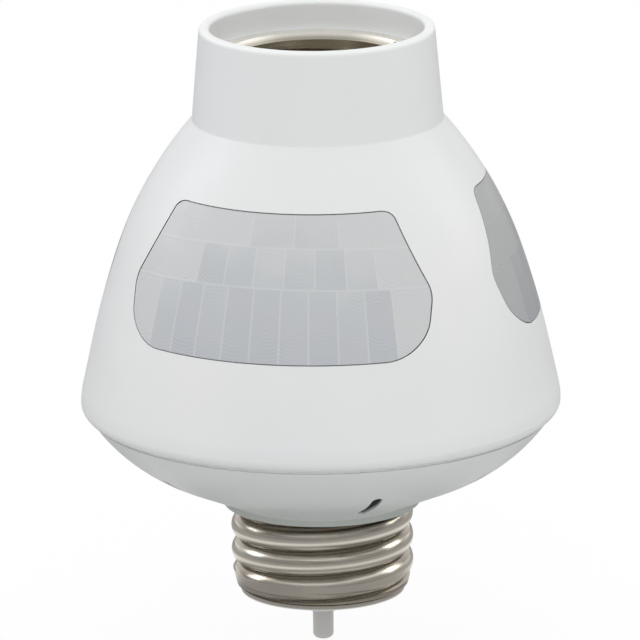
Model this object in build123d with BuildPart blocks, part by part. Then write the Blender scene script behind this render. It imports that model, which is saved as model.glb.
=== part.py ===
from build123d import *
from math import atan2, cos, degrees, hypot, radians, sin, sqrt, tan
import os

# Motion sensor light control that screws into a lamp holder and carries a lamp.
# Millimetres. The origin is the centre of the base shell's lower rim, +Z points
# to the lamp socket, and the front window faces -Y.

# Clearances shared by the fits
fit_gap = 0.05           # turned and moulded parts that slide into each other
slide_gap = 0.15         # larger moulded parts that slide into each other
seat_gap = 0.1           # curved faces that are held against each other
window_gap = 0.16        # open line round each lens
tab_gap = 0.1            # all round the shell's tab in its slot
cut_margin = 1.0         # how far a cutting prism passes the surface it cuts

# Lamp thread: rounded ridges of the common medium screw base
thread_pitch = 3.629
thread_round = 2.0
plug_crest_r = 13.2
plug_root_r = 12.33
socket_crest_r = 13.45
socket_root_r = 12.55
ridge_sink = 0.2         # how far a ridge reaches below its root
ridge_overrun = 1.6      # turns past both ends, which are trimmed

# Screw base
plug_wall = 0.4
plug_shown = 12.3        # from the lower rim to the cover's neck
plug_inside = 0.9        # the part of the shell inside the neck
plug_crest_z = 3.136     # a crest's height over the rim, on the +X side
plug_lead_in = 3.2       # the ridge fades out over this height
plug_end_r = 12.45
tab_width = 3.0
tab_reach = 5.2
tab_root = 0.5
tab_angle = 200.0

# Centre contact
pin_r = 1.5
pin_reach = 8.7          # below the shell's lower rim
pin_travel = 3.5
pin_tip_round = 0.8
pin_head_r = 2.3
pin_head_height = 1.2
boss_r = 9.7             # the cone under the end plate
boss_tip_r = 1.9
boss_drop = 3.4
insulator_flange = 1.0
flange_gap = 0.37        # open line between the shell's rim and the flange
flange_neck_r = 11.3
insulator_plug = 3.0
insulator_plate = 0.9
guide_wall = 1.1
guide_step_z = -0.9      # where the pin's head rests
spring_room = 5.8        # height left for the spring with the pin pressed home
spring_wire_r = 0.22
spring_r = 1.85
spring_turns = 5
spring_sides = 6         # of the wire's section
spring_end_gap = 0.02
terminal_thick = 0.5
terminal_button_r = 1.2
terminal_button_drop = 0.6

# Base cover
neck_r = 14.3
neck_recess_r = 13.35
neck_height = 1.0
cover_wall = 2.0
cover_slope = 66.1       # of the cone, from the axis
bowl_round = 25.07
bowl_bend = 31.2
cover_step = 1.33        # its edge stands in from the bell's widest ring
spigot_wall = 1.6
seam_depth = 0.45
seam_height = 0.4
tongue_wall = 1.4
tongue_height = 2.3
tongue_root = 1.2        # how deep the tongue is rooted in the cover's wall
bead_height = 0.6
bead_reach = 0.3
slot_width = 1.5
slot_inset = 3.1         # from the neck
slot_end_inset = 5.35    # from the cover's edge
slot_angles = (-128.7, -58.5, -18.2)
post_r = 2.6
post_inset = 4.7         # from the main board's edge
post_angles = (-93.5, 26.5, 146.5)

# Upper housing: bell and collar, one moulding
bell_r = 34.68
bell_widest = 1.5        # height of the widest ring over the seam
rim_round = 1.5
wall = 2.2
bell_height = 43.287     # from the seam to the collar's foot
collar_foot_r = 18.069
skirt_round = 9.7
flank_round = 134.3
flank_bend = 6.2
shoulder_round = 57.4
shoulder_bend = 22.45
collar_height = 13.506
collar_top_r = 16.9
collar_round = 0.5
lip_round = 0.6
mouth_r = 15.4
mouth_depth = 4.1

# Windows and lenses: heights are over the seam
window_count = 3
window_low = 15.0
window_corner = 23.7
window_high = 35.1
window_half = 21.8
window_top_half = 15.5
window_low_round = 5.0
window_side_round = 6.0
window_top_round = 2.5
lens_wall = 0.8
lens_flange = 0.8
lens_flange_width = 1.2
zone_levels = (25.05, 30.25)             # between the bottom, middle and top row
zone_steps = ((7.8, 5), (9.0, 4), (14.0, 2))  # angle of a zone, lines each side
zone_line = 0.3
zone_depth = 0.3

# Lamp socket
socket_depth = 25.5      # from the mouth's ledge down to the cup's floor
socket_wall = 0.35
socket_threaded = 15.0
socket_lead_in = 0.9
socket_lip = 0.4
cup_wall = 1.0
cup_floor = 2.5
cup_flange = 2.0
cup_flange_drop = 20.6   # below the mouth's ledge
leaf_width = 6.0
leaf_thick = 0.4
leaf_rise = 3.6
leaf_bend = 1.0
leaf_bend_x = -4.6
leaf_tip_x = 1.0
leaf_rivet_r = 6.8
shell_foot_r = 9.4
shell_rivet_r = 10.9
shell_rivet_angles = (-60.0, 60.0)
rivet_r = 0.9
rivet_head_r = 1.6
rivet_head = 0.5

# Fasteners
screw_r = 1.1
screw_head_r = 2.1
screw_head = 1.3
screw_head_edge = 0.5
screw_slot = (0.5, 0.6)                  # width and depth
screw_bite = 5.0
pilot_spare = 0.5        # pilot hole beyond the screw's tip
boss_wall = 1.5
boss_step = 2.85         # the socket's screws stand outside its cup

# Circuit boards and what they carry: heights on a sensor board are over the seam, and
# a place on the main board is a distance from its edge and an angle about the axis
board_edge_gap = 1.73    # inside the cover's tongue
board_thick = 1.6
edge_round = 0.6
sensor_board_gap = 1.45  # outside the socket's cup
sensor_board_thick = 1.2
sensor_board_width = 17.0
sensor_board_top = 31.3
sensor_tab_width = 8.0
sensor_height = 24.5
can_r = 4.1
can_height = 4.0
can_flange_r = 4.6
can_flange = 0.5
can_window = (4.0, 3.0)
can_window_depth = 0.3
photocell_r = 2.2
photocell_height = 1.8
photocell_seat = 16.5
relay_size = (19.0, 15.2, 12.0)
film_size = (5.0, 13.0, 11.0)
film_place = (7.2, -30.0)
chip_size = (6.2, 9.2, 2.6)
chip_place = (5.2, -62.0)
chip_leg = (0.9, 0.5, 1.2)
chip_leg_pitch = 1.27
chip_legs = 7
smoothing_r = 4.0
smoothing_height = 12.0
smoothing_groove = (0.3, 1.2, 1.9)       # depth, low and high edge over the board
smoothing_inset = 7.7
smoothing_angles = (78.0, 102.0)
varistor_r = 4.5
varistor_thick = 3.8
varistor_place = (6.2, -112.0)
fuse_r = 1.9
fuse_length = 8.0
fuse_place = (5.7, -137.0)
resistor_r = 1.1
resistor_length = 6.0
resistor_insets = (9.2, 6.2, 3.2)
resistor_angle = -161.0
leg_r = 0.4
leg_height = 1.0

# Internal leads: how far each runs straight at its ends, and where it goes
lead_r = 0.9
bend_share = 0.45
live_place = (7.0, 3.0)                  # on the main board
live_rise = 6.0
live_drop = 7.0
neutral_shift = 4.0                      # outwards, between the tab and the board
neutral_run = 3.5
lamp_live_ring_r = 13.2
lamp_neutral_shift = 2.0
lamp_run = 4.0

level_tol = 0.01         # how near an edge lies to the level it is picked by

# Cover: its cone is as long as it takes for the bowl to end at the edge
neck_top_z = plug_shown + neck_height
plug_height = plug_shown + plug_inside
cover_edge_r = bell_r - cover_step
cone_rise = radians(90 - cover_slope)
bowl_rise = cone_rise + radians(bowl_bend)
bowl_width = bowl_round * (sin(bowl_rise) - sin(cone_rise))
cover_cone = (cover_edge_r - neck_r - bowl_width) / cos(cone_rise)
bowl_depth = bowl_round * (cos(cone_rise) - cos(bowl_rise))
cover_edge_z = neck_top_z + cover_cone * sin(cone_rise) + bowl_depth
seam_z = cover_edge_z + seam_height
widest_z = seam_z + bell_widest

# Bell: slope and length of its straight skirt, from the ends that it has to meet and
# the arcs above it, which lean and swing as one with the skirt
flank_end = radians(flank_bend)
shoulder_end = radians(flank_bend + shoulder_bend)
arcs_up = flank_round * sin(flank_end) + shoulder_round * (sin(shoulder_end) - sin(flank_end))
arcs_in = flank_round * (1 - cos(flank_end))
arcs_in += shoulder_round * (cos(flank_end) - cos(shoulder_end))
foot_in = collar_foot_r - (bell_r - skirt_round)
foot_up = bell_height - bell_widest
across = skirt_round - arcs_in
along = sqrt(hypot(foot_in, foot_up) ** 2 - across**2)
taper = degrees(atan2(foot_up, foot_in) - atan2(along, across))
skirt_length = along - arcs_up

# Levels and radii worked out from the sizes above
plug_bore_r = plug_root_r - plug_wall
spigot_r = plug_bore_r - fit_gap
bell_bore_r = bell_r - wall
tongue_r = bell_bore_r - slide_gap
tongue_inner_r = tongue_r - tongue_wall
socket_shell_r = socket_crest_r + socket_wall
cup_bore_r = socket_shell_r + fit_gap
cup_r = cup_bore_r + cup_wall
boss_ring_r = cup_r + boss_step
barrel_r = cup_r + slide_gap          # bore of the collar below the mouth
socket_lip_r = barrel_r - seat_gap
board_r = tongue_inner_r - board_edge_gap
board_z = seam_z + tongue_height
board_top_z = board_z + board_thick
post_ring_r = board_r - post_inset
smoothing_ring_r = board_r - smoothing_inset
resistor_rings = [board_r - inset for inset in resistor_insets]
film_at, chip_at, varistor_at, fuse_at = (
    (board_r - inset, angle)
    for inset, angle in (film_place, chip_place, varistor_place, fuse_place)
)
sensor_board_r = cup_r + sensor_board_gap
slot_inner_r = neck_r + slot_inset
slot_outer_r = cover_edge_r - slot_end_inset
window_step = 360 / window_count
window_names = ("front", "rear_right", "rear_left")


def bell_curve(inset):
    """Bell outline from its widest ring to the collar's foot, moved inwards."""
    skirt = JernArc((bell_r - inset, widest_z), (0, 1), skirt_round - inset, taper)
    cone = Line(skirt @ 1, skirt @ 1 + (skirt % 1) * skirt_length)
    flank = JernArc(cone @ 1, cone % 1, flank_round - inset, flank_bend)
    shoulder = JernArc(flank @ 1, flank % 1, shoulder_round - inset, shoulder_bend)
    return skirt @ 0, shoulder @ 1


def bell_fill(inset):
    """Solid inside the bell's surface, which is moved inwards by the inset."""
    with BuildPart() as fill:
        with BuildSketch(Plane.XZ):
            with BuildLine():
                low, high = bell_curve(inset)
                Polyline(high, (0, high.Y), (0, low.Y), low)
            make_face()
        revolve(axis=Axis.Z)
    return fill.part


def window_prism(grow):
    """Prism through the front window, wider than its outline by grow all round."""
    near = barrel_r
    with BuildPart() as prism:
        with BuildSketch(Plane.XZ.offset(near)) as outline:
            with BuildLine():
                Polyline(
                    (-window_half, seam_z + window_low),
                    (window_half, seam_z + window_low),
                    (window_half, seam_z + window_corner),
                    (window_top_half, seam_z + window_high),
                    (-window_top_half, seam_z + window_high),
                    (-window_half, seam_z + window_corner),
                    close=True,
                )
            make_face()
            fillet(outline.vertices().group_by(Axis.Y)[1], window_side_round)
            fillet(outline.vertices().group_by(Axis.Y)[-1], window_top_round)
            fillet(outline.vertices().group_by(Axis.Y)[0], window_low_round)
            offset(amount=grow)
        extrude(amount=bell_r - near + cut_margin)
    return prism.part


def thread_ridge(crest_r, root_r, first_z, turns):
    """Rounded helical ridge that stands on the root radius, as one solid."""
    path_r = root_r - ridge_sink
    sagitta = crest_r - path_r
    half = sqrt(thread_round**2 - (thread_round - sagitta) ** 2)
    with BuildPart() as ridge:
        with BuildLine():
            path = Helix(thread_pitch, thread_pitch * turns, path_r, (0, 0, first_z))
        with BuildSketch(Plane(path @ 0, x_dir=(1, 0, 0), z_dir=path % 0)):
            with BuildLine():
                ThreePointArc((0, -half), (sagitta, 0), (0, half))
                Line((0, half), (0, -half))
            make_face()
        sweep(path=path, is_frenet=True)
    return ridge.part


def cover_fill(inset, top_z):
    """Solid inside the cover's bowl, which is moved inwards by the inset."""
    start = Vector(neck_r - inset * sin(cone_rise), neck_top_z + inset * cos(cone_rise))
    with BuildPart() as fill:
        with BuildSketch(Plane.XZ):
            with BuildLine():
                cone = PolarLine(start, cover_cone, 90 - cover_slope)
                bowl = JernArc(cone @ 1, cone % 1, bowl_round - inset, bowl_bend)
                high = bowl @ 1
                Polyline(high, (high.X, bell_r), (0, bell_r), (0, start.Y), start)
            make_face()
        revolve(axis=Axis.Z)
        add(ring(bell_r, 0, start.Y, top_z), mode=Mode.INTERSECT)
    return fill.part


def columns(radius, ring_r, angles, low_z, high_z):
    """Round columns on a ring about the axis, between two levels."""
    with BuildPart() as group:
        for angle in angles:
            with BuildSketch(Plane.XY.offset(low_z)):
                with PolarLocations(ring_r, 1, angle):
                    Circle(radius)
            extrude(amount=high_z - low_z)
    return group.part


def ring(outer_r, inner_r, low_z, high_z):
    """Plain ring about the axis, or a disc where the inner radius is nought."""
    with BuildPart() as tube:
        with BuildSketch(Plane.XY.offset(low_z)):
            Circle(outer_r)
            if inner_r:
                Circle(inner_r, mode=Mode.SUBTRACT)
        extrude(amount=high_z - low_z)
    return tube.part


def slotted_screws(ring_r, angles, seat_z, length, upward):
    """Slotted screws on a ring, their heads seated at one level."""
    head_z = seat_z - screw_head if upward else seat_z
    crown_z = head_z if upward else head_z + screw_head
    shank_z = seat_z if upward else seat_z - length
    slot_wide, slot_deep = screw_slot
    with BuildPart() as group:
        add(columns(screw_head_r, ring_r, angles, head_z, head_z + screw_head))
        crown = group.edges().filter_by_position(Axis.Z, crown_z - level_tol, crown_z + level_tol)
        chamfer(crown, screw_head_edge)
        with BuildSketch(Plane.XY.offset(crown_z)):
            for angle in angles:
                with PolarLocations(ring_r, 1, angle):
                    Rectangle(slot_wide, 2 * screw_head_r)
        extrude(amount=slot_deep if upward else -slot_deep, mode=Mode.SUBTRACT)
        add(columns(screw_r, ring_r, angles, shank_z, shank_z + length))
    return group.part


def turned_copy(part, angle):
    """The same part turned about the axis."""
    with BuildPart() as copy:
        with Locations(Rotation(0, 0, angle)):
            add(part)
    return copy.part


def lead(*points):
    """Insulated lead along straight runs joined by arcs as large as the runs allow."""
    radii = []
    for before, corner, after in zip(points, points[1:], points[2:]):
        run = Vector(corner) - Vector(before)
        next_run = Vector(after) - Vector(corner)
        turn = radians(run.get_angle(next_run))
        radii.append(bend_share * min(run.length, next_run.length) / tan(turn / 2))
    with BuildPart() as wire:
        with BuildLine():
            path = FilletPolyline(*points, radius=radii)
        with BuildSketch(Plane(path @ 0, z_dir=path % 0)):
            Circle(lead_r)
        sweep(path=path)
    return wire.part


def on_ring(place, z):
    """Point at a distance from the axis and an angle about it."""
    return (place[0] * cos(radians(place[1])), place[0] * sin(radians(place[1])), z)


def board_box(size, place, low_z):
    """Box with rounded corners on a board: radial, tangential and upright size."""
    with BuildPart() as box:
        with BuildSketch(Plane.XY.offset(low_z)):
            with PolarLocations(place[0], 1, place[1]):
                RectangleRounded(size[0], size[1], edge_round)
        extrude(amount=size[2])
        chamfer(box.faces().sort_by(Axis.Z)[-1].edges(), edge_round / 2)
    return box.part


def axial_parts(radius, length, rings, angle):
    """Round components that lie across a ray from the axis, on two legs each."""
    axis_z = board_top_z + leg_height + radius
    with BuildPart() as group:
        for ring_r in rings:
            with BuildSketch(Plane.YZ.offset(-length / 2)):
                with Locations((-ring_r, axis_z)):
                    Circle(radius)
            extrude(amount=length)
            with BuildSketch(Plane.XY.offset(board_top_z)):
                for side in (-1, 1):
                    with Locations((side * (length / 2 - 2 * leg_r), -ring_r)):
                        Circle(leg_r)
            extrude(amount=axis_z - board_top_z)
    return turned_copy(group.part, angle + 90)


collar_top_z = seam_z + bell_height + collar_height
ledge_z = collar_top_z - mouth_depth
lip_z = ledge_z - fit_gap
cup_floor_z = ledge_z - socket_depth
cup_base_z = cup_floor_z - cup_floor
cup_flange_z = ledge_z - cup_flange_drop
cup_flange_top_z = cup_flange_z + cup_flange

# Base screw shell: formed thread outside, plain bore, a curled lower rim and a tab
# that reaches through the cover to its lead
ridge_first_z = plug_crest_z - 2 * thread_pitch
ridge_turns = plug_height / thread_pitch + ridge_overrun
plug_ridge = thread_ridge(plug_crest_r, plug_root_r, ridge_first_z, ridge_turns)
tab_r = plug_bore_r + plug_wall / 2
with BuildPart() as base_screw_shell:
    add(plug_ridge)
    with BuildSketch(Plane.XZ):
        with BuildLine():
            Polyline(
                (0, 0),
                (plug_end_r, 0),
                (plug_crest_r + fit_gap, plug_lead_in),
                (plug_crest_r + fit_gap, plug_height),
                (0, plug_height),
                close=True,
            )
        make_face()
    revolve(axis=Axis.Z, mode=Mode.INTERSECT)
    add(ring(plug_root_r, plug_bore_r, 0, plug_height))
    with BuildSketch(Plane.XY.offset(plug_height - tab_root)):
        with PolarLocations(tab_r, 1, tab_angle):
            Rectangle(plug_wall / 2, tab_width)
    extrude(amount=tab_reach + tab_root)
base_screw_shell.part.label = "base_screw_shell"

# Insulator: end plate with an open line under the shell's rim, a wide cone below it
# and the guide tube of the centre contact
pin_head_top_z = guide_step_z + pin_head_height
guide_height = pin_head_top_z + pin_travel + spring_room
chamber_r = pin_head_r + fit_gap
guide_r = chamber_r + guide_wall
socket_in_spigot_r = spigot_r - spigot_wall - fit_gap
with BuildPart() as base_insulator:
    with BuildSketch(Plane.XZ):
        with BuildLine():
            Polyline(
                (pin_r + fit_gap, -insulator_flange - boss_drop),
                (boss_tip_r, -insulator_flange - boss_drop),
                (boss_r, -insulator_flange),
                (spigot_r, -insulator_flange),
                (spigot_r, -flange_gap),
                (flange_neck_r, -flange_gap),
                (flange_neck_r, 0),
                (socket_in_spigot_r, 0),
                (socket_in_spigot_r, insulator_plug),
                (socket_in_spigot_r - guide_wall, insulator_plug),
                (socket_in_spigot_r - guide_wall, insulator_plate),
                (guide_r, insulator_plate),
                (guide_r, guide_height),
                (chamber_r, guide_height),
                (chamber_r, guide_step_z),
                (pin_r + fit_gap, guide_step_z),
                close=True,
            )
        make_face()
    revolve(axis=Axis.Z)
base_insulator.part.label = "base_insulator"

# Centre contact pin: rounded tip below, a head inside the guide tube
with BuildPart() as contact_pin:
    with BuildSketch(Plane.XZ) as pin_section:
        with BuildLine():
            Polyline(
                (0, -pin_reach),
                (pin_r, -pin_reach),
                (pin_r, guide_step_z),
                (pin_head_r, guide_step_z),
                (pin_head_r, pin_head_top_z),
                (0, pin_head_top_z),
                close=True,
            )
        make_face()
        fillet(pin_section.vertices().group_by(Axis.Y)[0].sort_by(Axis.X)[-1], pin_tip_round)
    revolve(axis=Axis.Z)
contact_pin.part.label = "contact_pin"

# Spring between the pin's head and the terminal
spring_low_z = pin_head_top_z + spring_wire_r + spring_end_gap
spring_high_z = guide_height - spring_wire_r - spring_end_gap
spring_rise = spring_high_z - spring_low_z
with BuildPart() as contact_spring:
    with BuildLine():
        coil = Helix(spring_rise / spring_turns, spring_rise, spring_r, (0, 0, spring_low_z))
    with BuildSketch(Plane(coil @ 0, x_dir=(1, 0, 0), z_dir=coil % 0)):
        RegularPolygon(spring_wire_r, spring_sides)
    sweep(path=coil, is_frenet=True)
contact_spring.part.label = "contact_spring"

# Terminal: disc on the guide tube, with a button that centres the spring
terminal_top_z = guide_height + terminal_thick
with BuildPart() as contact_terminal:
    add(ring(guide_r, 0, guide_height, terminal_top_z))
    add(ring(terminal_button_r, 0, guide_height - terminal_button_drop, guide_height))
contact_terminal.part.label = "contact_terminal"

# Base cover: neck and spigot for the shell, slotted bowl, tongue into the housing
neck_ceiling_z = plug_height + fit_gap
bead_z = seam_z + tongue_height / 2
with BuildPart() as cover_posts:
    add(columns(post_r, post_ring_r, post_angles, plug_shown, board_z))
    add(cover_fill(cover_wall / 2, board_z), mode=Mode.INTERSECT)
with BuildPart() as base_cover:
    add(cover_fill(0, cover_edge_z))
    add(cover_fill(cover_wall, cover_edge_z), mode=Mode.SUBTRACT)
    add(ring(neck_r, neck_recess_r, plug_shown, neck_top_z + cover_wall / 2))
    add(ring(neck_r, spigot_r - spigot_wall, neck_ceiling_z, neck_top_z + cover_wall / 2))
    add(ring(spigot_r, spigot_r - spigot_wall, 0, neck_ceiling_z))
    add(ring(spigot_r - spigot_wall, 0, 0, board_z), mode=Mode.SUBTRACT)
    add(ring(tongue_r, tongue_inner_r, cover_edge_z - tongue_root, seam_z + tongue_height))
    add(ring(cover_edge_r - seam_depth, tongue_inner_r, cover_edge_z - seam_depth, seam_z))
    with BuildSketch(Plane.XZ):
        with BuildLine():
            Polyline(
                (tongue_r, bead_z - bead_height / 2),
                (tongue_r + bead_reach, bead_z),
                (tongue_r, bead_z + bead_height / 2),
                close=True,
            )
        make_face()
    revolve(axis=Axis.Z)
    add(cover_posts.part)
    pilot_z = board_z - screw_bite - pilot_spare
    add(
        columns(screw_r + fit_gap, post_ring_r, post_angles, pilot_z, board_z),
        mode=Mode.SUBTRACT,
    )
    with BuildSketch(Plane.XY.offset(plug_shown)):
        for angle in slot_angles:
            for turn in (0, 180):
                with PolarLocations((slot_inner_r + slot_outer_r) / 2, 1, angle + turn):
                    SlotOverall(slot_outer_r - slot_inner_r, slot_width)
    extrude(amount=board_z - plug_shown, mode=Mode.SUBTRACT)
    with BuildSketch(Plane.XY.offset(neck_ceiling_z)):
        with PolarLocations(tab_r, 1, tab_angle):
            Rectangle(plug_wall / 2 + 2 * tab_gap, tab_width + 2 * tab_gap)
    extrude(amount=cover_wall + neck_height, mode=Mode.SUBTRACT)
base_cover.part.label = "base_cover"

# Upper housing: bell with three windows and the collar round the lamp socket
boss_angles = [-90 + window_step * (n + 0.5) for n in range(window_count)]
with BuildPart() as housing_bosses:
    add(columns(screw_r + boss_wall, boss_ring_r, boss_angles, cup_flange_top_z, collar_top_z))
    add(bell_fill(wall / 2), mode=Mode.INTERSECT)
    add(
        columns(
            screw_r + fit_gap,
            boss_ring_r,
            boss_angles,
            cup_flange_top_z,
            cup_flange_top_z + screw_bite + pilot_spare,
        ),
        mode=Mode.SUBTRACT,
    )
with BuildPart() as upper_housing:
    with BuildSketch(Plane.XZ) as housing_section:
        with BuildLine():
            rim = JernArc((bell_r - rim_round, seam_z), (1, 0), rim_round, 90)
            low, high = bell_curve(0)
            Polyline(
                high,
                (collar_top_r, collar_top_z),
                (mouth_r, collar_top_z),
                (mouth_r, ledge_z),
                (barrel_r, ledge_z),
            )
            inner_low, inner_high = bell_curve(wall)
            Polyline((barrel_r, ledge_z), (barrel_r, inner_high.Y), inner_high)
            Polyline(inner_low, (bell_bore_r, seam_z), rim @ 0)
        make_face()
        lip = housing_section.vertices().filter_by_position(
            Axis.Y, collar_top_z - level_tol, collar_top_z + level_tol
        )
        fillet(lip, lip_round)
        foot = housing_section.vertices().sort_by_distance((high.X, high.Y))[0]
        fillet(foot, collar_round)
        with BuildLine():
            Polyline(
                (bell_bore_r, bead_z - bead_height),
                (bell_bore_r + bead_reach + slide_gap, bead_z),
                (bell_bore_r, bead_z + bead_height),
                close=True,
            )
        make_face(mode=Mode.SUBTRACT)
    revolve(axis=Axis.Z)
    with PolarLocations(0, window_count):
        add(window_prism(0), mode=Mode.SUBTRACT)
    add(housing_bosses.part)
upper_housing.part.label = "upper_housing"

# Lens: flush face, side walls through the window, a flange behind the wall, and
# the lines between its zones on the inner face
tray_depth = wall + seat_gap + lens_flange
inner_face = lens_wall - zone_depth
with BuildPart() as zone_lines:
    row_levels = (window_low, *zone_levels, window_high)
    for (step, count), low, high in zip(zone_steps, row_levels, row_levels[1:]):
        with BuildSketch(Plane.XY.offset(seam_z + low)):
            for line in range(-count, count):
                with PolarLocations(bell_r, 1, -90 + (line + 0.5) * step):
                    Rectangle(bell_r, zone_line)
        extrude(amount=high - low)
    for level in zone_levels:
        line_z = seam_z + level - zone_line / 2
        add(ring(bell_r, barrel_r, line_z, line_z + zone_line))
    add(bell_fill(inner_face), mode=Mode.INTERSECT)
    add(window_prism(-window_gap - lens_wall), mode=Mode.INTERSECT)
with BuildPart() as lens_hollow:
    add(bell_fill(lens_wall))
    add(window_prism(-window_gap - lens_wall), mode=Mode.INTERSECT)
with BuildPart() as lens_rim:
    add(bell_fill(wall + seat_gap))
    add(window_prism(lens_flange_width), mode=Mode.INTERSECT)
with BuildPart() as lens_front:
    add(bell_fill(0))
    add(window_prism(-window_gap), mode=Mode.INTERSECT)
    add(lens_rim.part)
    add(lens_hollow.part, mode=Mode.SUBTRACT)
    add(zone_lines.part, mode=Mode.SUBTRACT)
    add(bell_fill(tray_depth), mode=Mode.SUBTRACT)

# Lamp socket: white cup with three ears that the screws hold under the bosses
with BuildPart() as socket_body:
    add(ring(cup_r, 0, cup_base_z, lip_z))
    with BuildSketch(Plane.XY.offset(cup_flange_z)) as ears:
        Circle(cup_r + cup_wall)
        for angle in boss_angles:
            with PolarLocations(boss_ring_r, 1, angle):
                Circle(screw_r + boss_wall)
            with PolarLocations(boss_ring_r / 2, 1, angle):
                Rectangle(boss_ring_r, 2 * (screw_r + boss_wall))
    extrude(amount=cup_flange)
    add(
        columns(screw_r + fit_gap, boss_ring_r, boss_angles, cup_flange_z, cup_flange_top_z),
        mode=Mode.SUBTRACT,
    )
    add(ring(cup_bore_r, 0, cup_floor_z, lip_z), mode=Mode.SUBTRACT)
    add(ring(socket_lip_r + fit_gap, 0, lip_z - socket_lip - fit_gap, lip_z), mode=Mode.SUBTRACT)
    add(
        columns(rivet_r + fit_gap, shell_rivet_r, shell_rivet_angles, cup_base_z, cup_floor_z),
        mode=Mode.SUBTRACT,
    )
    add(
        columns(rivet_r + fit_gap, leaf_rivet_r, (180,), cup_base_z, cup_floor_z),
        mode=Mode.SUBTRACT,
    )
socket_body.part.label = "socket_body"

# Socket shell: lamp thread formed inside, a lip over the cup and a riveted foot
thread_high_z = lip_z - socket_lead_in
thread_low_z = thread_high_z - socket_threaded
socket_groove = thread_ridge(
    socket_crest_r, socket_root_r, thread_low_z, socket_threaded / thread_pitch
)
shell_foot_z = cup_floor_z + socket_wall
with BuildPart() as socket_shell:
    with BuildSketch(Plane.XZ):
        with BuildLine():
            Polyline(
                (shell_foot_r, cup_floor_z),
                (socket_shell_r, cup_floor_z),
                (socket_shell_r, lip_z - socket_lip),
                (socket_lip_r, lip_z - socket_lip),
                (socket_lip_r, lip_z),
                (socket_crest_r, lip_z),
                (socket_root_r, thread_high_z),
                (socket_root_r, shell_foot_z),
                (shell_foot_r, shell_foot_z),
                close=True,
            )
        make_face()
    revolve(axis=Axis.Z)
    add(socket_groove, mode=Mode.SUBTRACT)
    add(
        columns(rivet_r + fit_gap, shell_rivet_r, shell_rivet_angles, cup_floor_z, shell_foot_z),
        mode=Mode.SUBTRACT,
    )
socket_shell.part.label = "socket_shell"

# Centre contact of the lamp socket: a bent leaf
leaf_mid_z = cup_floor_z + leaf_thick / 2
with BuildPart() as socket_leaf:
    with BuildSketch(Plane.XZ.offset(-leaf_width / 2)):
        with BuildLine():
            FilletPolyline(
                (-leaf_rivet_r - leaf_width / 4, leaf_mid_z),
                (leaf_bend_x, leaf_mid_z),
                (leaf_tip_x, leaf_mid_z + leaf_rise),
                (leaf_tip_x + leaf_width / 2, leaf_mid_z + leaf_rise - leaf_thick),
                radius=leaf_bend,
            )
        trace(line_width=leaf_thick)
    extrude(amount=leaf_width)
    add(
        columns(rivet_r + fit_gap, leaf_rivet_r, (180,), cup_floor_z, cup_floor_z + leaf_thick),
        mode=Mode.SUBTRACT,
    )
socket_leaf.part.label = "socket_leaf"

# Rivets through the cup's floor: two for the shell's foot, one for the leaf
with BuildPart() as socket_rivets:
    for ring_r, angles, top_z in (
        (shell_rivet_r, shell_rivet_angles, shell_foot_z),
        (leaf_rivet_r, (180,), cup_floor_z + leaf_thick),
    ):
        add(columns(rivet_r, ring_r, angles, cup_base_z - rivet_head, top_z + rivet_head))
        add(columns(rivet_head_r, ring_r, angles, top_z, top_z + rivet_head))
        add(columns(rivet_head_r, ring_r, angles, cup_base_z - rivet_head, cup_base_z))
socket_rivets.part.label = "socket_rivets"

with BuildPart() as socket_screws:
    add(slotted_screws(boss_ring_r, boss_angles, cup_flange_z, cup_flange + screw_bite, True))
socket_screws.part.label = "socket_screws"

# Main board on the cover's posts, slotted for the three sensor boards
tab_mid_r = sensor_board_r + sensor_board_thick / 2
with BuildPart() as main_board:
    add(ring(board_r, 0, board_z, board_top_z))
    add(
        columns(screw_r + fit_gap, post_ring_r, post_angles, board_z, board_top_z),
        mode=Mode.SUBTRACT,
    )
    with BuildSketch(Plane.XY.offset(board_z)):
        with PolarLocations(tab_mid_r, window_count, -90):
            Rectangle(sensor_board_thick + 2 * fit_gap, sensor_tab_width + 2 * fit_gap)
    extrude(amount=board_thick, mode=Mode.SUBTRACT)
main_board.part.label = "main_board"

with BuildPart() as board_screws:
    add(slotted_screws(post_ring_r, post_angles, board_top_z, board_thick + screw_bite, False))
board_screws.part.label = "board_screws"

# Front sensor board, its sensor can and the photocell below it
sensor_face = sensor_board_r + sensor_board_thick
sensor_z = seam_z + sensor_height
photocell_z = seam_z + photocell_seat
with BuildPart() as sensor_board_front:
    with BuildSketch(Plane.XZ.offset(sensor_board_r)):
        with Locations((0, board_top_z)):
            Rectangle(
                sensor_board_width,
                seam_z + sensor_board_top - board_top_z,
                align=(Align.CENTER, Align.MIN),
            )
            Rectangle(sensor_tab_width, board_thick, align=(Align.CENTER, Align.MAX))
    extrude(amount=sensor_board_thick)
with BuildPart() as pir_sensor_front:
    with BuildSketch(Plane.XZ.offset(sensor_face)):
        with Locations((0, sensor_z)):
            Circle(can_flange_r)
    extrude(amount=can_flange)
    with BuildSketch(Plane.XZ.offset(sensor_face)):
        with Locations((0, sensor_z)):
            Circle(can_r)
    extrude(amount=can_height)
    chamfer(pir_sensor_front.faces().sort_by(Axis.Y)[0].edges(), can_window_depth)
    with BuildSketch(Plane.XZ.offset(sensor_face + can_height)):
        with Locations((0, sensor_z)):
            Rectangle(*can_window)
    extrude(amount=-can_window_depth, mode=Mode.SUBTRACT)
with BuildPart() as photocell:
    with BuildSketch(Plane.XZ.offset(sensor_face)):
        with Locations((0, photocell_z)):
            Circle(photocell_r)
    extrude(amount=photocell_height)
photocell.part.label = "photocell"

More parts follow.
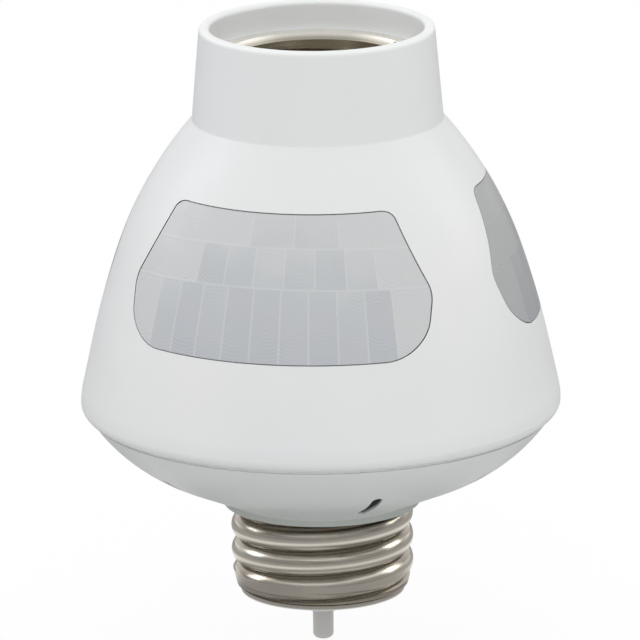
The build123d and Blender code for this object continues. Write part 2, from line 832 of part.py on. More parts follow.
# Components on the main board
with BuildPart() as relay:
    add(board_box(relay_size, (0, 0), board_top_z))
relay.part.label = "relay"
with BuildPart() as film_capacitor:
    add(board_box(film_size, film_at, board_top_z))
film_capacitor.part.label = "film_capacitor"
with BuildPart() as smoothing_capacitors:
    groove, groove_low, groove_high = smoothing_groove
    for radius, low, high in (
        (smoothing_r, 0, groove_low),
        (smoothing_r - groove, groove_low, groove_high),
        (smoothing_r, groove_high, smoothing_height),
    ):
        add(
            columns(
                radius, smoothing_ring_r, smoothing_angles, board_top_z + low, board_top_z + high
            )
        )
smoothing_capacitors.part.label = "smoothing_capacitors"
with BuildPart() as control_chip:
    add(board_box(chip_size, chip_at, board_top_z + chip_leg[2] / 2))
    with BuildSketch(Plane.XY.offset(board_top_z)):
        with PolarLocations(chip_at[0], 1, chip_at[1]):
            with GridLocations(chip_size[0] + chip_leg[0] / 2, chip_leg_pitch, 2, chip_legs):
                Rectangle(chip_leg[0], chip_leg[1])
    extrude(amount=chip_leg[2])
control_chip.part.label = "control_chip"
with BuildPart() as varistor_upright:
    with BuildSketch(Plane.XZ.offset(varistor_at[0] - varistor_thick / 2)):
        with Locations((0, board_top_z + leg_height + varistor_r)):
            Circle(varistor_r)
    extrude(amount=varistor_thick)
    with BuildSketch(Plane.XY.offset(board_top_z)):
        for side in (-1, 1):
            with Locations((side * varistor_r / 2, -varistor_at[0])):
                Circle(leg_r)
    extrude(amount=leg_height + varistor_r)
with BuildPart() as varistor:
    add(turned_copy(varistor_upright.part, varistor_at[1] + 90))
varistor.part.label = "varistor"
with BuildPart() as fuse_resistor:
    add(axial_parts(fuse_r, fuse_length, fuse_at[:1], fuse_at[1]))
fuse_resistor.part.label = "fuse_resistor"
with BuildPart() as resistors:
    add(axial_parts(resistor_r, resistor_length, resistor_rings, resistor_angle))
resistors.part.label = "resistors"

# Internal leads: live and neutral from the base, live and neutral to the lamp
tab_top_z = plug_height + tab_reach
rivet_low_z = cup_base_z - rivet_head
board_tab_r = tab_r + neutral_shift
board_rivet_r = shell_rivet_r + lamp_neutral_shift
neutral_angle = shell_rivet_angles[0]
named_parts = {
    "live_lead": lead(
        (0, 0, terminal_top_z),
        (0, 0, terminal_top_z + live_rise),
        (*live_place, board_z - live_drop),
        (*live_place, board_z),
    ),
    "neutral_lead": lead(
        on_ring((tab_r, tab_angle), tab_top_z),
        on_ring((tab_r, tab_angle), tab_top_z + neutral_run),
        on_ring((board_tab_r, tab_angle), board_z - neutral_run),
        on_ring((board_tab_r, tab_angle), board_z),
    ),
    "lamp_live_lead": lead(
        (-lamp_live_ring_r, 0, board_top_z),
        (-lamp_live_ring_r, 0, rivet_low_z - 2 * lamp_run),
        (-leaf_rivet_r, 0, rivet_low_z - lamp_run),
        (-leaf_rivet_r, 0, rivet_low_z),
    ),
    "lamp_neutral_lead": lead(
        on_ring((board_rivet_r, neutral_angle), board_top_z),
        on_ring((board_rivet_r, neutral_angle), rivet_low_z - 2 * lamp_run),
        on_ring((shell_rivet_r, neutral_angle), rivet_low_z - lamp_run),
        on_ring((shell_rivet_r, neutral_angle), rivet_low_z),
    ),
}
for number, place in enumerate(window_names):
    named_parts[f"lens_{place}"] = turned_copy(lens_front.part, number * window_step)
    named_parts[f"sensor_board_{place}"] = turned_copy(
        sensor_board_front.part, number * window_step
    )
    named_parts[f"pir_sensor_{place}"] = turned_copy(pir_sensor_front.part, number * window_step)
for built in (
    upper_housing,
    base_cover,
    base_screw_shell,
    base_insulator,
    contact_pin,
    contact_spring,
    contact_terminal,
    socket_body,
    socket_shell,
    socket_leaf,
    socket_rivets,
    socket_screws,
    main_board,
    board_screws,
    photocell,
    relay,
    film_capacitor,
    smoothing_capacitors,
    control_chip,
    varistor,
    fuse_resistor,
    resistors,
):
    named_parts[built.part.label] = built.part

os.makedirs("parts", exist_ok=True)
for name, part in named_parts.items():
    part.label = name
    export_step(part, f"parts/{name}.step")
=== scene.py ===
from math import cos, pi, radians, sin

import bpy
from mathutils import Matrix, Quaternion, Vector


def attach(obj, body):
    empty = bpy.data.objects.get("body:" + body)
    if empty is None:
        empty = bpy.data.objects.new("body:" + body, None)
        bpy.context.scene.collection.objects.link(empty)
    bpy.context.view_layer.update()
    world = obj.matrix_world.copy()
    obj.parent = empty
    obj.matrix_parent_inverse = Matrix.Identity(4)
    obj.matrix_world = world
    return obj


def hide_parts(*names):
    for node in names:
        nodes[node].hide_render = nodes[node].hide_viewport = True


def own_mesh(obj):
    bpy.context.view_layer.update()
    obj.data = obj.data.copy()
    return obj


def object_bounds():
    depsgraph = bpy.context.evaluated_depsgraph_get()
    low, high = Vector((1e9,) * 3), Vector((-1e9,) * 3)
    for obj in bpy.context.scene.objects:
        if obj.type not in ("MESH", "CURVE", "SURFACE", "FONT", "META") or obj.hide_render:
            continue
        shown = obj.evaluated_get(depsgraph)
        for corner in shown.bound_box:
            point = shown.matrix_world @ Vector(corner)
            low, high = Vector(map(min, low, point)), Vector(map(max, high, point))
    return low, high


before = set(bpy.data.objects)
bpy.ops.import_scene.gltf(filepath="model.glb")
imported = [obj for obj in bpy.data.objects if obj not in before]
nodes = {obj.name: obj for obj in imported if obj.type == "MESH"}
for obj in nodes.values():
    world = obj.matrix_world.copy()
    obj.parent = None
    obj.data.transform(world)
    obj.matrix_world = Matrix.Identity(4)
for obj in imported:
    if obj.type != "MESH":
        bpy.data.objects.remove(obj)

cad_low, cad_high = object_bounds()

# Camera, as the photograph was taken: it looks down at the axis from the right
CAMERA_DISTANCE = 1.2
CAMERA_AZIMUTH = 14.8
CAMERA_ELEVATION = 15.3
CAMERA_ROLL = 0.63
AIM_HEIGHT = 0.0392
CAMERA_LENS = 467.7
SENSOR_WIDTH = 36.0

# Lens zones: edges between the rows in metres, then for each row the angle of a
# zone in degrees, its first and last line (line 0 is half a zone right of the middle)
# and the height of its centre. The rows dip towards the lens's ends, and the tone
# grows lighter upwards by LENS_RISE a metre, as painted light. ROW_SEED makes each row's
# tones differ.
ROW_EDGES = (0.05135, 0.05675)
ROWS = ((7.8, -5, 4, 0.0470), (9.0, -3, 3, 0.0540), (14.0, -1, 1, 0.0585))
ROW_DIP = 0.0011
LENS_RISE = 45.0
ROW_SEED = 1000
WINDOW_STEP = 120.0
LENS_R = 0.030
LINE_HALF = 0.00013
GROOVE_PITCH = 0.00052

# Heights where a tone changes: the cover's neck, with painted shade below it, the
# insulator's flange, the socket's lip, with painted shade inside below it, from the collar
# to its rim, with painted light on the rim, and from the cover to the seam over it, with
# painted light in the seam's groove
NECK_TOP = 0.0133
FLANGE_EDGE = -0.0009
SOCKET_LIP = 0.0783
RIM_LOW = 0.0821
RIM_HIGH = 0.0827
SEAM_LOW = 0.02565
SEAM_HIGH = 0.02575

# Cover: rise of its cone and the cone's height at the axis, where the bowl starts and
# how it curves, the outer end of the slots, and the depths where their painted shade
# starts and is full
CONE_RISE = 0.4431
CONE_START = 0.00696
BOWL_START = 0.02295
BOWL_CURVE = 26.1
SLOT_END = 0.0284
SLOT_SHADE = (0.0002, 0.0005)

# Threads: pitch, and height of the crest at the front
THREAD_PITCH = 0.003629
PLUG_CREST = 0.003136 - THREAD_PITCH / 4
SOCKET_CREST = 0.0

# Finishes: each scale is features a metre, each depth is in metres. Moulded plastic has
# tones, gloss and the grain of the tool
MOULD_TONES = 28
MOULD_GLOSS = 120
MOULD_GRAIN = 3500
MOULD_DEPTH = 0.000012
BOARD_GRAIN = 900

# Drawn metal: fine lines, how far they climb in a degree, its tones and its gloss
DRAWN_LINES = 4200
DRAWN_CLIMB = 0.00002
DRAWN_DEPTH = 0.0000025
DRAWN_TONES = 70
DRAWN_GLOSS = 110

# Threaded metal: rolling marks, how far a mark moves the edge of a tone, and how far
# from the crest, in turns, the painted highlight of the crest ends, the painted shade of the
# valley starts, and the marks start and are full
ROLLED_ROUGHNESS = 0.22
ROLLED_MARKS = 1900
ROLLED_STRETCH = (0.04, 0.04, 1)
ROLLED_SHIFT = 0.12
ROLLED_DEPTH = 0.00006
CREST_HIGHLIGHT_END = 0.22
VALLEY_SHADE_START = 0.36
MARKS_SPAN = (0.2, 0.4)

# Lens: its tones from the darkest zone to the lightest, the lowest tone of a zone and
# how far the zones spread over it, its lines and clouds, and its gloss and relief
LENS_TONES = (
    (0.00, (186, 190, 194)),
    (0.30, (191, 193, 197)),
    (0.55, (193, 197, 199)),
    (0.75, (200, 202, 204)),
    (1.00, (204, 205, 206)),
)
ZONE_LOW = 0.12
ZONE_SPREAD = 0.45
LINE_TONE = (210, 212, 213)
LINE_SHARE = 0.5
LENS_CLOUDS = 110
CLOUD_TONE = 0.12
LENS_SPECULAR = 0.25
LENS_GLOSS = 300
LENS_PATCHES = 260
LENS_DEPTH = 0.000014

# Light: what the surroundings send to matt surfaces, and what glossy ones see in them
# from the horizon up, as pairs of sine of the height and level, with the share of the
# white backdrop by how straight behind the object it is. A lamp has its azimuth,
# elevation, size, power and colour, and says whether it is seen in reflections
LAMP_DISTANCE = 1.2
LAMPS = {
    "right": (120, 24, 0.5, 1.9, (1.0, 0.99, 0.97), True),
    "left": (-92, 26, 0.5, 2.5, (0.94, 0.96, 1.0), True),
    "top": (10, 65, 0.9, 1.6, (1, 1, 1), False),
    "front": (12, 14, 0.9, 2.8, (1, 1, 1), False),
}
DIFFUSE_LEVEL = 0.75
SKY = ((0.0, 0.28), (0.42, 0.30), (0.54, 1.0), (0.74, 1.0), (0.9, 0.6))
BACKDROP = ((0.45, 0.0), (0.80, 1.0))

# Floor: its size, its grey as it lights the object, as pairs of place from left to right
# over twice FLOOR_HALF and level, how far it is plain white to the camera, and the glow that
# glossy surfaces see on it, with a painted shadow round the object and a painted bright ring
# beyond it, as pairs of distance from the axis in GROUND_UNIT and level
FLOOR_SIZE = 8
FLOOR_HALF = 0.1
FLOOR_GREYS = ((0.52, 0.58), (0.75, 0.72))
FLOOR_GLOW = 0.93
GROUND = (
    (0.00, 0.80),
    (0.16, 0.70),
    (0.25, 0.25),
    (0.34, 0.95),
    (0.46, 0.95),
    (0.60, 0.42),
)
GROUND_UNIT = 0.1


def srgb(red, green, blue):
    """Colour of a shader socket from the three values that a screen shows."""
    parts = [value / 255 for value in (red, green, blue)]
    linear = [p / 12.92 if p <= 0.04045 else ((p + 0.055) / 1.055) ** 2.4 for p in parts]
    return (*linear, 1.0)


def dimmed(values, level):
    """Colour of three screen values, each times a level."""
    return srgb(*(value * level for value in values))


class Finish:
    """A material with one principled shader, and short ways to add nodes to it."""

    def __init__(self, name, colour, roughness, metallic=0.0):
        self.material = bpy.data.materials.new(name)
        self.material.use_nodes = True
        self.tree = self.material.node_tree
        self.shader = self.tree.nodes["Principled BSDF"]
        self.set(Base_Color=colour, Roughness=roughness, Metallic=metallic)
        self.place = self.tree.nodes.new("ShaderNodeTexCoord").outputs["Object"]

    def set(self, **values):
        """Constant values, straight on the shader's own sockets."""
        for name, value in values.items():
            self.shader.inputs[name.replace("_", " ")].default_value = value

    def link(self, value, socket):
        """A link, or a constant where the value isn't an output."""
        if isinstance(value, bpy.types.NodeSocket):
            self.tree.links.new(value, socket)
        else:
            socket.default_value = value

    def math(self, operation, first, second=0.0, third=0.0):
        """Result of one operation on outputs or numbers."""
        node = self.tree.nodes.new("ShaderNodeMath")
        node.operation = operation
        for value, socket in zip((first, second, third), node.inputs):
            self.link(value, socket)
        return node.outputs[0]

    def noise(self, scale, detail, stretch=(1, 1, 1), place=None):
        """Noise of a given number of features a metre, stretched along the axes."""
        mapping = self.tree.nodes.new("ShaderNodeMapping")
        mapping.inputs["Scale"].default_value = stretch
        self.link(place or self.place, mapping.inputs["Vector"])
        node = self.tree.nodes.new("ShaderNodeTexNoise")
        node.inputs["Scale"].default_value = scale
        node.inputs["Detail"].default_value = detail
        self.link(mapping.outputs[0], node.inputs["Vector"])
        return node.outputs["Fac"]

    def span(self, value, low, high, start=0.35, end=0.65):
        """Value from start to end spread over low to high."""
        node = self.tree.nodes.new("ShaderNodeMapRange")
        node.inputs["From Min"].default_value = start
        node.inputs["From Max"].default_value = end
        node.inputs["To Min"].default_value = low
        node.inputs["To Max"].default_value = high
        self.link(value, node.inputs["Value"])
        return node.outputs["Result"]

    def ramp(self, value, *stops):
        """Colour that runs through stops of position and colour."""
        node = self.tree.nodes.new("ShaderNodeValToRGB")
        elements = node.color_ramp.elements
        while len(elements) < len(stops):
            elements.new(0.5)
        for element, (position, colour) in zip(elements, stops):
            element.position = position
            element.color = colour
        self.link(value, node.inputs["Fac"])
        return node.outputs["Color"]

    def colour(self, value, *stops):
        """Base colour that runs through stops by a value."""
        self.link(self.ramp(value, *stops), self.shader.inputs["Base Color"])

    def roughness(self, value, low, high):
        """Roughness that runs from low to high by a value."""
        self.link(self.span(value, low, high), self.shader.inputs["Roughness"])

    def bump(self, height, depth):
        """Relief of a given depth in metres."""
        node = self.tree.nodes.new("ShaderNodeBump")
        node.inputs["Distance"].default_value = depth
        self.link(height, node.inputs["Height"])
        self.link(node.outputs[0], self.shader.inputs["Normal"])

    def over(self, mask, colour):
        """Another colour where the mask is one, over the one that is there."""
        socket = self.shader.inputs["Base Color"]
        mix = self.tree.nodes.new("ShaderNodeMix")
        mix.data_type = "RGBA"
        self.link(mask, mix.inputs["Factor"])
        self.link(socket.links[0].from_socket, mix.inputs[6])
        mix.inputs[7].default_value = colour
        self.link(mix.outputs[2], socket)

    def below(self, level, blend=0.0002):
        """One under a height and nought above it, with a soft edge."""
        return self.span(self.polar()[1], 1, 0, level - blend, level + blend)

    def above(self, low, high):
        """Nought under a height and one above a second height."""
        return self.span(self.polar()[1], 0, 1, low, high)

    def polar(self):
        """Angle about the axis in degrees, 0 at the front window, and the height."""
        split = self.tree.nodes.new("ShaderNodeSeparateXYZ")
        self.link(self.place, split.inputs[0])
        x, y, z = split.outputs
        angle = self.math("ARCTAN2", x, self.math("MULTIPLY", y, -1.0))
        return self.math("MULTIPLY", angle, 180 / pi), z


def moulded(name, colour, tint, roughness=0.42, grain=MOULD_GRAIN):
    """Satin moulded plastic: two close tones, uneven gloss and a fine tool grain."""
    finish = Finish(name, colour, roughness)
    finish.colour(finish.noise(MOULD_TONES, 3), (0.35, colour), (0.65, tint))
    finish.roughness(finish.noise(MOULD_GLOSS, 5), roughness - 0.05, roughness + 0.06)
    finish.bump(finish.noise(grain, 3), MOULD_DEPTH)
    return finish


def painted_slot_shade(finish):
    """One inside the cover and in its slots, deeper than their edges, else nought: the mask
    of their painted shade.
    """
    split = finish.tree.nodes.new("ShaderNodeSeparateXYZ")
    finish.link(finish.place, split.inputs[0])
    x, y, z = split.outputs
    square = finish.math("MULTIPLY_ADD", x, x, finish.math("MULTIPLY", y, y))
    radius = finish.math("SQRT", square)
    cone = finish.math("MULTIPLY_ADD", radius, CONE_RISE, CONE_START)
    past = finish.math("MAXIMUM", finish.math("SUBTRACT", radius, BOWL_START), 0.0)
    bowl = finish.math("MULTIPLY", finish.math("MULTIPLY", past, past), BOWL_CURVE)
    depth = finish.math("SUBTRACT", finish.math("SUBTRACT", z, cone), bowl)
    inside = finish.span(depth, 0, 1, *SLOT_SHADE)
    return finish.math("MULTIPLY", inside, finish.math("LESS_THAN", radius, SLOT_END))


def drawn_metal(name, bright, dull, roughness=0.24):
    """Plated sheet metal: fine lines round the axis and slightly duller patches."""
    finish = Finish(name, bright, roughness, 1.0)
    angle, height = finish.polar()
    join = finish.tree.nodes.new("ShaderNodeCombineXYZ")
    finish.link(finish.math("MULTIPLY", angle, DRAWN_CLIMB), join.inputs[0])
    finish.link(height, join.inputs[2])
    lines = finish.noise(DRAWN_LINES, 1, place=join.outputs[0])
    finish.colour(finish.noise(DRAWN_TONES, 2), (0.3, dull), (0.7, bright))
    finish.roughness(finish.noise(DRAWN_GLOSS, 2), roughness - 0.03, roughness + 0.05)
    finish.bump(lines, DRAWN_DEPTH)
    return finish


def threaded_metal(name, bright, dull, crest_z):
    """Plated thread: crests painted bright as a highlight, valleys painted duller as shade,
    with fine rolling marks.
    """
    finish = drawn_metal(name, bright, dull, ROLLED_ROUGHNESS)
    angle, height = finish.polar()
    turn = finish.math("MULTIPLY_ADD", angle, -THREAD_PITCH / 360, -crest_z)
    turns = finish.math("DIVIDE", finish.math("ADD", height, turn), THREAD_PITCH)
    nearest = finish.math("ROUND", turns)
    off = finish.math("ABSOLUTE", finish.math("SUBTRACT", turns, nearest))
    marks = finish.noise(ROLLED_MARKS, 2, stretch=ROLLED_STRETCH)
    depth = finish.math("ADD", finish.span(marks, -ROLLED_SHIFT, ROLLED_SHIFT), off)
    # Painted highlight on the crests and painted shade in the valleys
    finish.colour(depth, (CREST_HIGHLIGHT_END, bright), (VALLEY_SHADE_START, dull))
    valley = finish.span(off, 0.05, 1.0, *MARKS_SPAN)
    finish.bump(finish.math("MULTIPLY", marks, valley), ROLLED_DEPTH)
    return finish


def lens_material(name, level):
    """Milky zone lens: rows of zones, each with its own tone and faint ring grooves, all
    darkened by a level below one as painted shade.
    """
    finish = Finish(name, srgb(190, 193, 196), 0.34)
    finish.set(Specular_IOR_Level=LENS_SPECULAR)
    angle, height = finish.polar()
    turns = finish.math("ROUND", finish.math("DIVIDE", angle, WINDOW_STEP))
    angle = finish.math("SUBTRACT", angle, finish.math("MULTIPLY", turns, WINDOW_STEP))
    swing = finish.math("MULTIPLY", angle, pi / 180)
    dip = finish.math("MULTIPLY", finish.math("MULTIPLY", swing, swing), ROW_DIP)
    height = finish.math("ADD", height, dip)
    rows = [zone_row(finish, angle, height, *row) for row in ROWS]
    above = [finish.math("GREATER_THAN", height, edge) for edge in ROW_EDGES]
    tone, line, rings = (
        pick(finish, above[1], pick(finish, above[0], low, middle), high)
        for low, middle, high in zip(*rows)
    )
    for edge in ROW_EDGES:
        off = finish.math("ABSOLUTE", finish.math("SUBTRACT", height, edge))
        row_line = finish.span(off, 1, 0, LINE_HALF * 0.5, LINE_HALF * 1.5)
        line = finish.math("MAXIMUM", line, row_line)
    # Painted light: the lens lighter towards its top
    rise = finish.math("MULTIPLY_ADD", height, LENS_RISE, -LENS_RISE * ROWS[0][-1])
    cloud = finish.span(finish.noise(LENS_CLOUDS, 3), -CLOUD_TONE, CLOUD_TONE)
    tone = finish.math("ADD", finish.math("ADD", tone, rise), cloud)
    finish.colour(tone, *((at, dimmed(values, level)) for at, values in LENS_TONES))
    finish.over(finish.math("MULTIPLY", line, LINE_SHARE), dimmed(LINE_TONE, level))
    patches = finish.span(finish.noise(LENS_PATCHES, 2), 0.0, 0.9, 0.45, 0.62)
    finish.bump(finish.math("MULTIPLY_ADD", rings, patches, line), LENS_DEPTH)
    finish.roughness(finish.noise(LENS_GLOSS, 4), 0.30, 0.40)
    return finish


def zone_row(finish, angle, height, step, first, last, centre):
    """One row of zones: a tone for each, the lines between them and ring grooves."""
    number = finish.math("ROUND", finish.math("DIVIDE", angle, step))
    across = finish.math("SUBTRACT", angle, finish.math("MULTIPLY", number, step))
    nearest = finish.math("ROUND", finish.math("MULTIPLY_ADD", angle, 1 / step, -0.5))
    nearest = finish.math("MAXIMUM", finish.math("MINIMUM", nearest, last), first)
    line_angle = finish.math("MULTIPLY_ADD", nearest, step, step / 2)
    off = finish.math("ABSOLUTE", finish.math("SUBTRACT", angle, line_angle))
    half = LINE_HALF / LENS_R * 180 / pi
    line = finish.span(off, 1, 0, half * 0.5, half * 1.5)
    tone = finish.tree.nodes.new("ShaderNodeTexWhiteNoise")
    tone.noise_dimensions = "1D"
    finish.link(finish.math("ADD", number, centre * ROW_SEED), tone.inputs["W"])
    margin = finish.math(
        "MAXIMUM",
        finish.math("LESS_THAN", angle, (first + 0.5) * step),
        finish.math("GREATER_THAN", angle, (last + 0.5) * step),
    )
    shade = finish.math("MULTIPLY_ADD", tone.outputs["Value"], ZONE_SPREAD, ZONE_LOW)
    shade = finish.math("MAXIMUM", shade, margin)
    side = finish.math("MULTIPLY", across, LENS_R * pi / 180)
    rise = finish.math("SUBTRACT", height, centre)
    square = finish.math("MULTIPLY_ADD", side, side, finish.math("MULTIPLY", rise, rise))
    reach = finish.math("SQRT", square)
    rings = finish.math("SINE", finish.math("MULTIPLY", reach, 2 * pi / GROOVE_PITCH))
    return shade, line, rings


def pick(finish, choice, first, second):
    """First where the choice is nought, second where it is one."""
    difference = finish.math("SUBTRACT", second, first)
    return finish.math("MULTIPLY_ADD", choice, difference, first)


def dress(finish, *names):
    """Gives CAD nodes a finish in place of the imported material."""
    for name in names:
        for slot in nodes[name].material_slots:
            slot.material = finish.material


def dress_all():
    """The finish of every piece, outside and inside."""
    white = moulded("white_plastic", srgb(231, 232, 231), srgb(227, 229, 230))
    # Painted light: the top of the collar's rim is lighter, as if lit from above
    white.over(white.above(RIM_LOW, RIM_HIGH), srgb(243, 245, 244))
    dress(white, "upper_housing")
    # Painted shade: the cover is the housing's white plastic, painted a little darker on its
    # downward face
    cover = moulded("cover_plastic", srgb(221, 224, 223), srgb(216, 220, 219))
    # Painted shade: the neck under the cover's bowl is darker and greener
    cover.over(cover.below(NECK_TOP), srgb(178, 183, 178))
    # Painted shade: the inside of the cover and its slots, dark where no light reaches
    cover.over(painted_slot_shade(cover), srgb(84, 86, 86))
    # Painted light: the cover's edge at the seam is lighter, to lift the shade in the groove
    cover.over(cover.above(SEAM_LOW, SEAM_HIGH), srgb(240, 241, 240))
    dress(cover, "base_cover")
    dress(moulded("socket_plastic", srgb(235, 234, 228), srgb(228, 227, 221)), "socket_body")
    insulator = moulded("insulator_plastic", srgb(168, 161, 151), srgb(158, 151, 142), 0.5)
    insulator.over(insulator.below(FLANGE_EDGE, 0.0001), srgb(243, 243, 241))
    dress(insulator, "base_insulator")
    # Both threads carry a painted highlight on their crests and painted shade in their
    # valleys
    shell = threaded_metal(
        "nickel_shell", srgb(216, 209, 197), srgb(168, 160, 148), PLUG_CREST
    )
    dress(shell, "base_screw_shell")
    socket = threaded_metal(
        "nickel_lip", srgb(254, 250, 240), srgb(247, 242, 230), SOCKET_CREST
    )
    # Painted shade: the socket's shell is darker inside, below its lip
    socket.over(socket.below(SOCKET_LIP), srgb(196, 190, 176))
    dress(socket, "socket_shell")
    pin = drawn_metal("tinned_pin", srgb(205, 202, 199), srgb(182, 180, 177), 0.3)
    dress(pin, "contact_pin")
    steel = drawn_metal("spring_steel", srgb(170, 171, 174), srgb(140, 141, 144))
    dress(steel, "contact_spring")
    dress(
        drawn_metal("screw_steel", srgb(190, 190, 190), srgb(158, 158, 158)),
        "socket_screws",
        "board_screws",
    )
    dress(
        drawn_metal("spring_brass", srgb(212, 176, 104), srgb(186, 148, 82)),
        "socket_leaf",
        "contact_terminal",
    )
    rivets = drawn_metal("rivet_brass", srgb(200, 166, 100), srgb(170, 136, 78))
    dress(rivets, "socket_rivets")
    can = drawn_metal("sensor_can", srgb(198, 198, 200), srgb(172, 172, 176))
    dress(can, *each("pir_sensor"))
    front, *rear = each("lens")
    dress(lens_material("lens_plastic", 1.0), front)
    # Painted shade: the rear lenses are the same plastic, painted darker
    dress(lens_material("shaded_rear_lens_plastic", 0.85), *rear)
    dress(
        moulded("circuit_board", srgb(52, 104, 64), srgb(44, 92, 56), 0.35, BOARD_GRAIN),
        "main_board",
        *each("sensor_board"),
    )
    dress(moulded("photocell_glaze", srgb(176, 92, 52), srgb(158, 78, 44), 0.2), "photocell")
    dress(moulded("relay_case", srgb(40, 72, 128), srgb(34, 62, 114)), "relay")
    dress(moulded("film_case", srgb(186, 132, 48), srgb(172, 118, 40)), "film_capacitor")
    dress(
        moulded("capacitor_sleeve", srgb(34, 36, 44), srgb(26, 28, 36), 0.3),
        "smoothing_capacitors",
    )
    dress(moulded("chip_case", srgb(30, 30, 32), srgb(24, 24, 26), 0.5), "control_chip")
    dress(moulded("varistor_coat", srgb(46, 92, 150), srgb(38, 80, 134), 0.35), "varistor")
    dress(moulded("fuse_coat", srgb(92, 140, 112), srgb(80, 126, 98), 0.45), "fuse_resistor")
    tan = moulded("resistor_coat", srgb(204, 178, 136), srgb(190, 162, 120), 0.45)
    dress(tan, "resistors")
    dress(
        moulded("dark_insulation", srgb(38, 38, 40), srgb(30, 30, 32), 0.35),
        "live_lead",
        "lamp_live_lead",
    )
    dress(
        moulded("white_insulation", srgb(222, 222, 218), srgb(212, 212, 208), 0.35),
        "neutral_lead",
        "lamp_neutral_lead",
    )


def each(stem):
    """Names of the three copies of a node."""
    return [f"{stem}_{place}" for place in ("front", "rear_right", "rear_left")]


def make_spring():
    """The contact spring as a copy of its own, in place of the CAD one, attached to the
    housing.
    """
    mesh = nodes["contact_spring"].data.copy()
    spring = bpy.data.objects.new("pressed_spring", mesh)
    bpy.context.scene.collection.objects.link(spring)
    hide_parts("contact_spring")
    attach(spring, "housing")
    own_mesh(spring)


def make_camera():
    """Camera at the photograph's place, angle and roll."""
    azimuth, elevation = radians(CAMERA_AZIMUTH), radians(CAMERA_ELEVATION)
    back = Vector(
        (sin(azimuth) * cos(elevation), -cos(azimuth) * cos(elevation), sin(elevation))
    )
    data = bpy.data.cameras.new("camera")
    data.lens = CAMERA_LENS
    data.sensor_width = SENSOR_WIDTH
    camera = bpy.data.objects.new("camera", data)
    camera.location = Vector((0, 0, AIM_HEIGHT)) + back * CAMERA_DISTANCE
    camera.rotation_mode = "QUATERNION"
    roll = Quaternion((0, 0, 1), radians(-CAMERA_ROLL))
    camera.rotation_quaternion = back.to_track_quat("Z", "Y") @ roll
    bpy.context.scene.collection.objects.link(camera)
    bpy.context.scene.camera = camera


def add_lamp(name, azimuth, elevation, size, power, colour, shine):
    """Square soft box that faces the object from an angle, with or without a reflection."""
    a, e = radians(azimuth), radians(elevation)
    back = Vector((sin(a) * cos(e), -cos(a) * cos(e), sin(e)))
    data = bpy.data.lights.new(name, "AREA")
    data.size = size
    data.energy = power
    data.color = colour
    lamp = bpy.data.objects.new(name, data)
    lamp.location = Vector((0, 0, AIM_HEIGHT)) + back * LAMP_DISTANCE
    lamp.rotation_mode = "QUATERNION"
    lamp.rotation_quaternion = back.to_track_quat("Z", "Y")
    lamp.visible_glossy = shine
    bpy.context.scene.collection.objects.link(lamp)


def rays(tree, *names):
    """One where a ray is of any of the kinds, otherwise nought."""
    path = tree.nodes.new("ShaderNodeLightPath")
    value = path.outputs[names[0]]
    for name in names[1:]:
        either = tree.nodes.new("ShaderNodeMath")
        either.operation = "MAXIMUM"
        tree.links.new(value, either.inputs[0])
        tree.links.new(path.outputs[name], either.inputs[1])
        value = either.outputs[0]
    return value


def choose(tree, factor, first, second):
    """First where the factor is nought, second where it is one."""
    node = tree.nodes.new("ShaderNodeMix")
    tree.links.new(factor, node.inputs["Factor"])
    for value, socket in ((first, node.inputs["A"]), (second, node.inputs["B"])):
        if isinstance(value, bpy.types.NodeSocket):
            tree.links.new(value, socket)
        else:
            socket.default_value = value
    return node.outputs["Result"]


def levels(tree, value, stops):
    """Level that runs through stops of value and level."""
    node = tree.nodes.new("ShaderNodeValToRGB")
    elements = node.color_ramp.elements
    while len(elements) < len(stops):
        elements.new(0.5)
    for element, (position, level) in zip(elements, stops):
        element.position = position
        element.color = (level, level, level, 1)
    tree.links.new(value, node.inputs["Fac"])
    return node.outputs["Color"]


def light_world():
    """Plain studio: white to the camera, a soft level for matt and glossy surfaces."""
    world = bpy.data.worlds.new("studio")
    bpy.context.scene.world = world
    world.use_nodes = True
    tree = world.node_tree
    split = tree.nodes.new("ShaderNodeSeparateXYZ")
    direction = tree.nodes.new("ShaderNodeTexCoord")
    tree.links.new(direction.outputs["Generated"], split.inputs[0])
    away = tree.nodes.new("ShaderNodeVectorMath")
    away.operation = "DOT_PRODUCT"
    tree.links.new(direction.outputs["Generated"], away.inputs[0])
    azimuth = radians(CAMERA_AZIMUTH)
    away.inputs[1].default_value = (-sin(azimuth), cos(azimuth), 0)
    behind = levels(tree, away.outputs["Value"], BACKDROP)
    sky = choose(tree, behind, levels(tree, split.outputs["Z"], SKY), 1.0)
    glossy = choose(tree, rays(tree, "Is Glossy Ray"), DIFFUSE_LEVEL, sky)
    seen = rays(tree, "Is Camera Ray", "Is Transmission Ray")
    shader = tree.nodes["Background"]
    tree.links.new(choose(tree, seen, glossy, 1.0), shader.inputs["Strength"])
    shader.inputs["Color"].default_value = (1, 1, 1, 1)


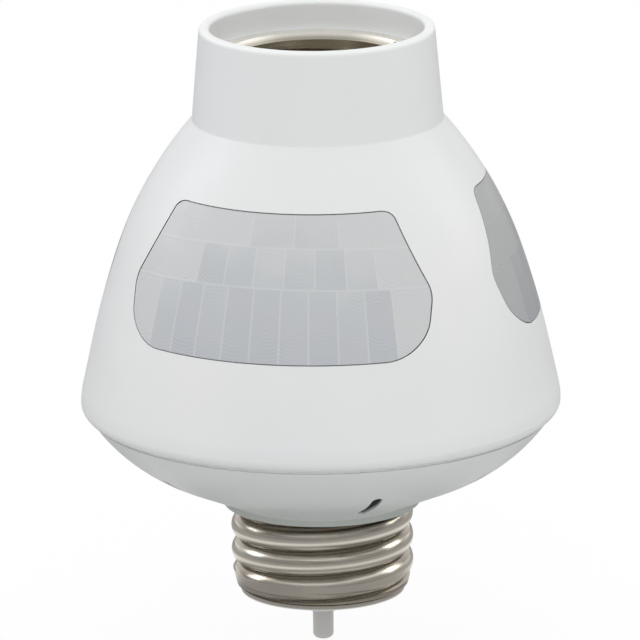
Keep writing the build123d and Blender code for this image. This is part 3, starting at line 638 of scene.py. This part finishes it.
def make_floor():
    """Wide pale floor under the pin, white to the camera apart from a soft shadow."""
    bpy.ops.mesh.primitive_plane_add(size=FLOOR_SIZE, location=(0, 0, cad_low.z))
    floor = bpy.context.object
    floor.name = "floor"
    material = bpy.data.materials.new("floor")
    material.use_nodes = True
    tree = material.node_tree
    tree.nodes.clear()
    output = tree.nodes.new("ShaderNodeOutputMaterial")
    matte = tree.nodes.new("ShaderNodeBsdfDiffuse")
    place = tree.nodes.new("ShaderNodeTexCoord")
    split = tree.nodes.new("ShaderNodeSeparateXYZ")
    tree.links.new(place.outputs["Object"], split.inputs[0])
    across = tree.nodes.new("ShaderNodeMapRange")
    across.inputs["From Min"].default_value = -FLOOR_HALF
    across.inputs["From Max"].default_value = FLOOR_HALF
    tree.links.new(split.outputs["X"], across.inputs["Value"])
    grey = levels(tree, across.outputs["Result"], FLOOR_GREYS)
    grey = choose(tree, rays(tree, "Is Camera Ray"), grey, 1.0)
    tree.links.new(grey, matte.inputs["Color"])
    reach = tree.nodes.new("ShaderNodeVectorMath")
    reach.operation = "LENGTH"
    tree.links.new(place.outputs["Object"], reach.inputs[0])
    units = tree.nodes.new("ShaderNodeMath")
    units.operation = "MULTIPLY"
    units.inputs[1].default_value = 1 / GROUND_UNIT
    tree.links.new(reach.outputs["Value"], units.inputs[0])
    # Painted shadow and painted bright ring in the floor's glow, seen only in reflections
    ground = levels(tree, units.outputs[0], GROUND)
    glossy = rays(tree, "Is Glossy Ray")
    glow = tree.nodes.new("ShaderNodeEmission")
    glow.inputs["Color"].default_value = (1, 1, 1, 1)
    tree.links.new(choose(tree, glossy, 1.0, ground), glow.inputs["Strength"])
    seen = rays(tree, "Is Camera Ray", "Is Transmission Ray")
    share = choose(tree, seen, choose(tree, glossy, 0.0, 1.0), FLOOR_GLOW)
    mix = tree.nodes.new("ShaderNodeMixShader")
    tree.links.new(share, mix.inputs[0])
    tree.links.new(matte.outputs[0], mix.inputs[1])
    tree.links.new(glow.outputs[0], mix.inputs[2])
    tree.links.new(mix.outputs[0], output.inputs["Surface"])
    floor.data.materials.append(material)


make_camera()
dress_all()
make_spring()
light_world()
for name, lamp in LAMPS.items():
    add_lamp(name, *lamp)
make_floor()
bpy.context.scene.view_settings.view_transform = "Standard"
